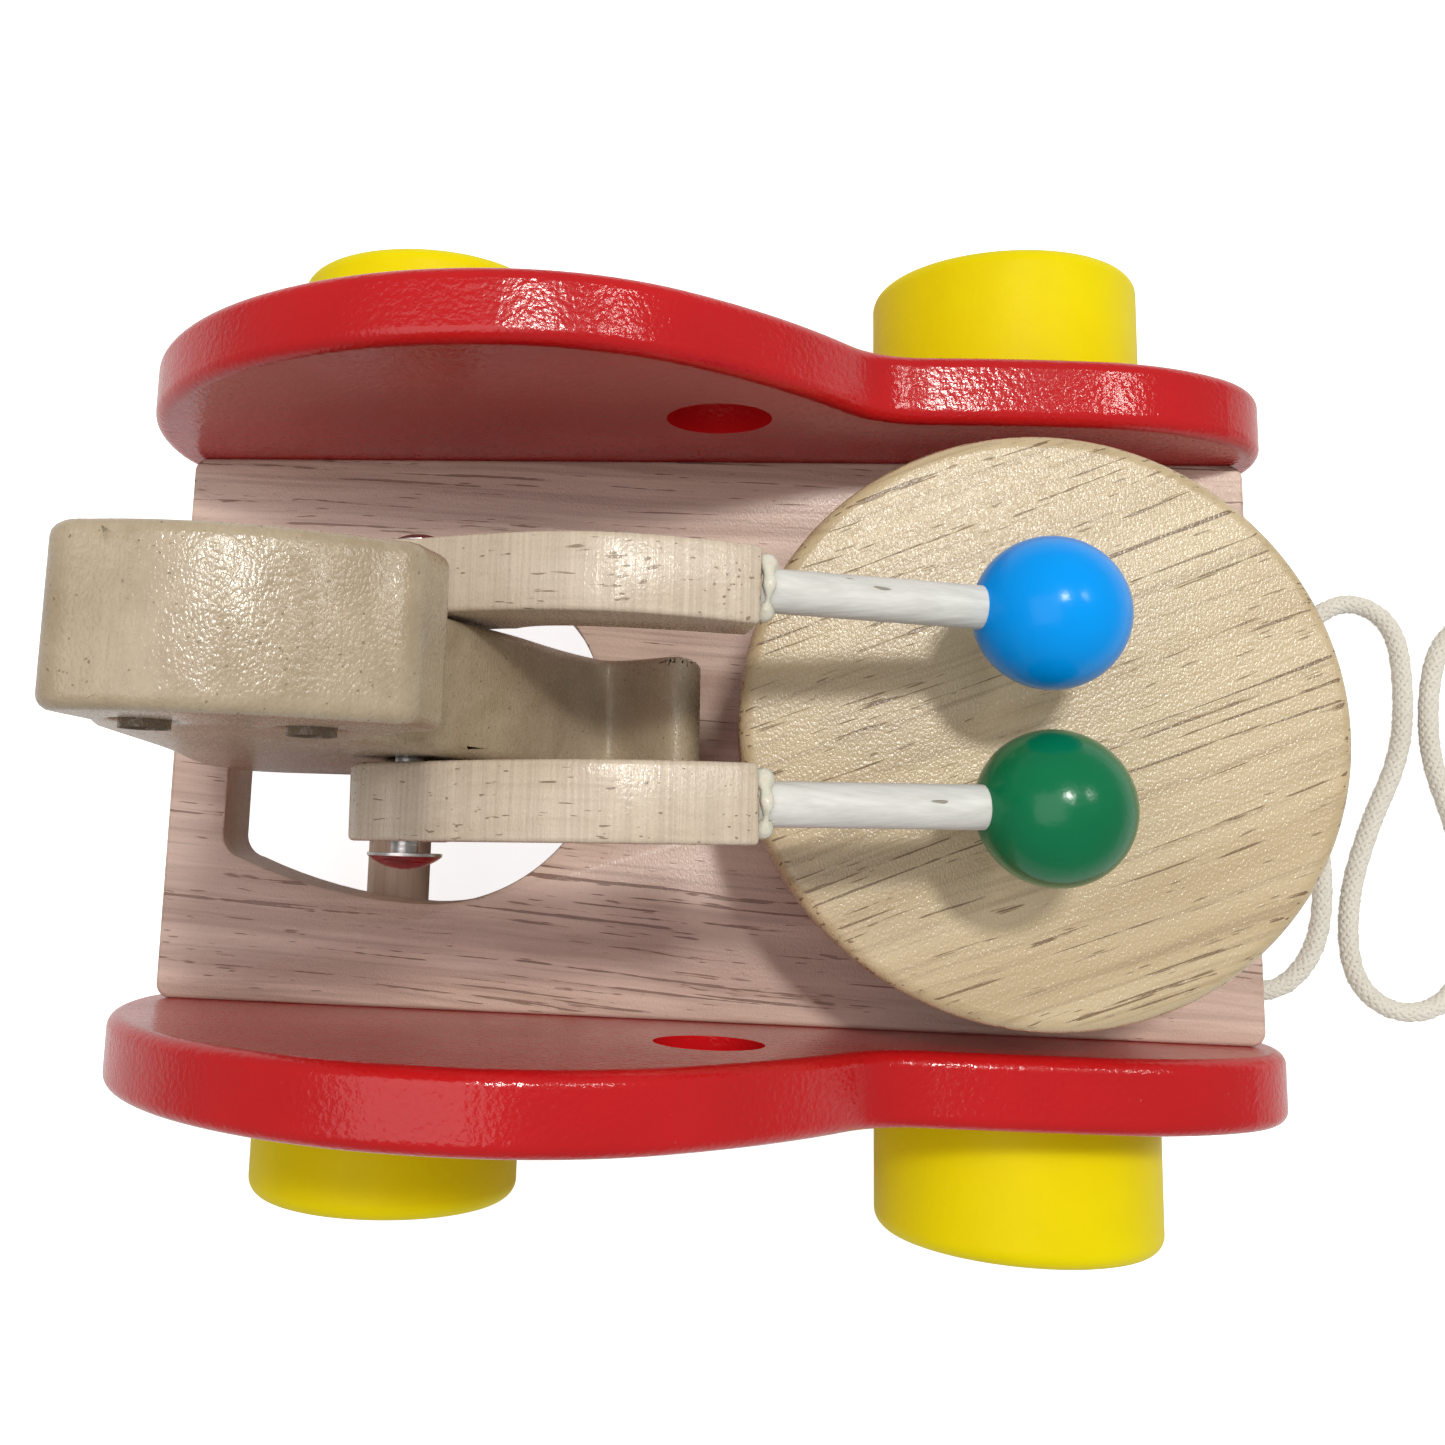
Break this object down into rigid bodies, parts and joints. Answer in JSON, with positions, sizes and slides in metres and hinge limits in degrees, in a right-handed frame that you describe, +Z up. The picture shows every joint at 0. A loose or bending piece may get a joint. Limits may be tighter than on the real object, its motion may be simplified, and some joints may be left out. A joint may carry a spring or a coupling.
{
  "type": "pull-along drummer toy",
  "caption": "Wooden pull-along drummer toy: seated figure with two hinged arms and drumsticks over a round drum, red side panels, yellow wheels, cams on the rear axle and a white pull cord.",
  "frame": {"origin": "on the ground, half way along the base plate and half way between the outermost wheel faces (the wheel sets have slid towards +Y, so the plate's middle plane is at y = -2.4 mm)", "axes": "+X the way the toy is pulled, +Y to its left, +Z up"},
  "size_m": [0.3154, 0.1788, 0.179],
  "materials": {
    "wood_base": "bare sanded pine",
    "wood_drum": "bare sanded pine",
    "wood_arm": "bare, fine saw marks",
    "wood_figure": "thin clear lacquer",
    "wood_dowel": "bare",
    "red_enamel": "thick gloss enamel",
    "yellow_paint": "satin enamel",
    "blue_gloss": "gloss enamel",
    "green_gloss": "gloss enamel",
    "stick_paint": "thin off-white paint",
    "dried_glue": "yellowed, glossy",
    "steel": "nickel plated",
    "cotton_cord": "braided",
    "wood_pull": "clear lacquer"
  },
  "bodies": {
    "chassis": {"base_plate": "wood_base", "left_side_panel": "red_enamel", "right_side_panel": "red_enamel", "panel_dowels": "wood_dowel", "figure_body": "wood_figure", "figure_screws": "steel", "shoulder_pin": "steel", "pin_cap": "steel", "drum_disc": "wood_drum", "drum_post": "wood_dowel", "drum_screw": "steel", "cord_knot": "cotton_cord", "pull_cord": "cotton_cord", "cord_coil": "cotton_cord", "pull_bead": "wood_pull", "cord_tail": "cotton_cord", "end_knot": "cotton_cord"},
    "front_wheel_set": {"front_axle": "wood_dowel", "front_wheel_left": "yellow_paint", "front_wheel_right": "yellow_paint"},
    "rear_wheel_set": {"rear_axle": "wood_dowel", "rear_wheel_left": "yellow_paint", "rear_wheel_right": "yellow_paint", "cam_left": "wood_dowel", "cam_right": "wood_dowel"},
    "left_arm": {"arm_left": "wood_arm", "drumstick_left": "stick_paint", "stick_bead_left": "blue_gloss", "glue_collar_left": "dried_glue"},
    "right_arm": {"arm_right": "wood_arm", "drumstick_right": "stick_paint", "stick_bead_right": "green_gloss", "glue_collar_right": "dried_glue"}
  },
  "joints": [
    {"name": "front_axle_spin", "type": "hinge", "parent": "chassis", "child": "front_wheel_set", "pos_m": [0.0589, -0.0024, 0.025], "axis": [0, 1, 0], "continuous": true},
    {"name": "rear_axle_spin", "type": "hinge", "parent": "chassis", "child": "rear_wheel_set", "pos_m": [-0.0572, -0.0024, 0.025], "axis": [0, 1, 0], "continuous": true},
    {"name": "left_arm_swing", "type": "hinge", "parent": "chassis", "child": "left_arm", "pos_m": [-0.039, -0.0024, 0.1075], "axis": [0, 1, 0], "range_deg": [-9, 7.3]},
    {"name": "right_arm_swing", "type": "hinge", "parent": "chassis", "child": "right_arm", "pos_m": [-0.039, -0.0024, 0.1075], "axis": [0, 1, 0], "range_deg": [-9, 7.3]}
  ]
}
